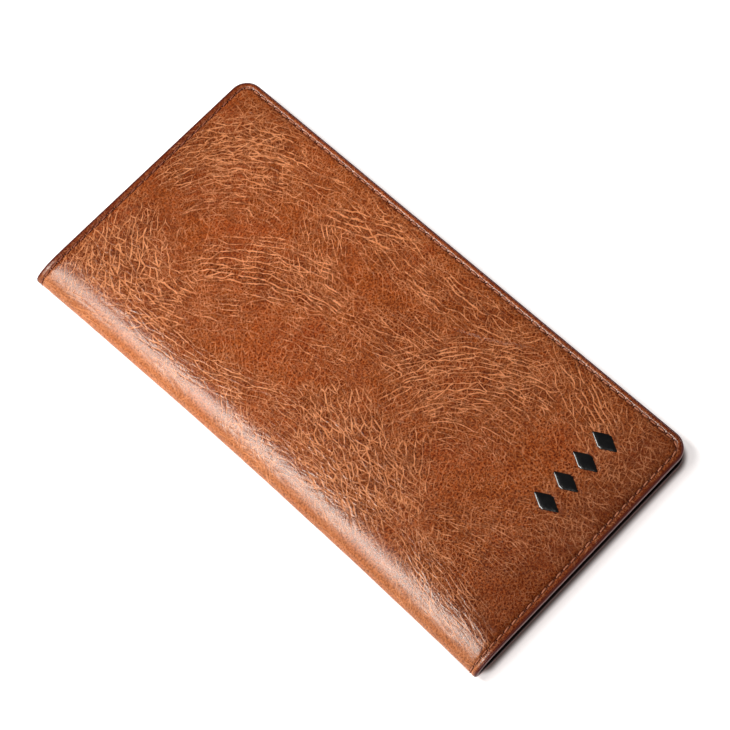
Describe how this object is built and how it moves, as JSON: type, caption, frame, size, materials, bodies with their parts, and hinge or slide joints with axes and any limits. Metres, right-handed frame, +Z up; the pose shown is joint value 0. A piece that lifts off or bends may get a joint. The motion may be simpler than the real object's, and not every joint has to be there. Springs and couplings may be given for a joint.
{
  "type": "long wallet",
  "caption": "Slim long bifold wallet with stitched, padded crackle-leather covers that open flat about a rolled fold onto card slots, note pockets and a clear window.",
  "frame": {"origin": "middle of the underside of the closed wallet, where it lies on a table", "axes": "+Z up through the closed wallet, +Y along the fold towards the end away from the pressed mark, +X from the fold to the open long edge"},
  "size_m": [0.095, 0.19, 0.0088],
  "materials": {
    "cover_leather": "waxed crackle, satin",
    "slot_leather": "smooth satin",
    "edge_paint": "burnished dark edge paint",
    "thread": "waxed polyester thread",
    "lining": "dark woven lining",
    "foam": "thin foam",
    "board": "fibreboard",
    "clear_film": "clear",
    "black_foil": "gloss black"
  },
  "bodies": {
    "rear_cover": {"rear_cover_leather": "cover_leather", "rear_foam_pad": "foam", "rear_stiffener_board": "board", "rear_cover_lining": "lining", "rear_edge_paint": "edge_paint", "rear_stitching": "thread", "rear_note_pocket_rim": "slot_leather", "rear_card_sheet": "slot_leather", "rear_card_leaf_1": "slot_leather", "rear_card_leaf_2": "slot_leather", "rear_card_leaf_3": "slot_leather", "rear_card_leaf_4": "slot_leather", "rear_card_leaf_5": "slot_leather", "rear_card_leaf_6": "slot_leather", "rear_card_leaf_7": "slot_leather", "rear_card_leaf_8": "slot_leather"},
    "spine": {"spine_leather": "cover_leather", "spine_lining": "lining", "spine_edge_paint": "edge_paint", "spine_stitching": "thread"},
    "front_cover": {"front_cover_leather": "cover_leather", "front_foam_pad": "foam", "front_stiffener_board": "board", "front_cover_lining": "lining", "front_edge_paint": "edge_paint", "front_stitching": "thread", "front_note_pocket_rim": "slot_leather", "front_card_sheet": "slot_leather", "front_card_leaf_1": "slot_leather", "front_card_leaf_2": "slot_leather", "front_card_leaf_3": "slot_leather", "front_card_leaf_4": "slot_leather", "id_window_frame": "slot_leather", "id_window_film": "clear_film", "pressed_mark": "black_foil"}
  },
  "joints": [
    {"name": "lower_fold", "type": "hinge", "parent": "rear_cover", "child": "spine", "pos_m": [-0.04675, 0, 0.00165], "axis": [0, -1, 0], "range_deg": [0, 90]},
    {"name": "upper_fold", "type": "hinge", "parent": "spine", "child": "front_cover", "pos_m": [-0.04675, 0, 0.00715], "axis": [0, -1, 0], "range_deg": [0, 90]}
  ],
  "couplings": [
    {"joint": "upper_fold", "follows": "lower_fold", "ratio": 1}
  ]
}
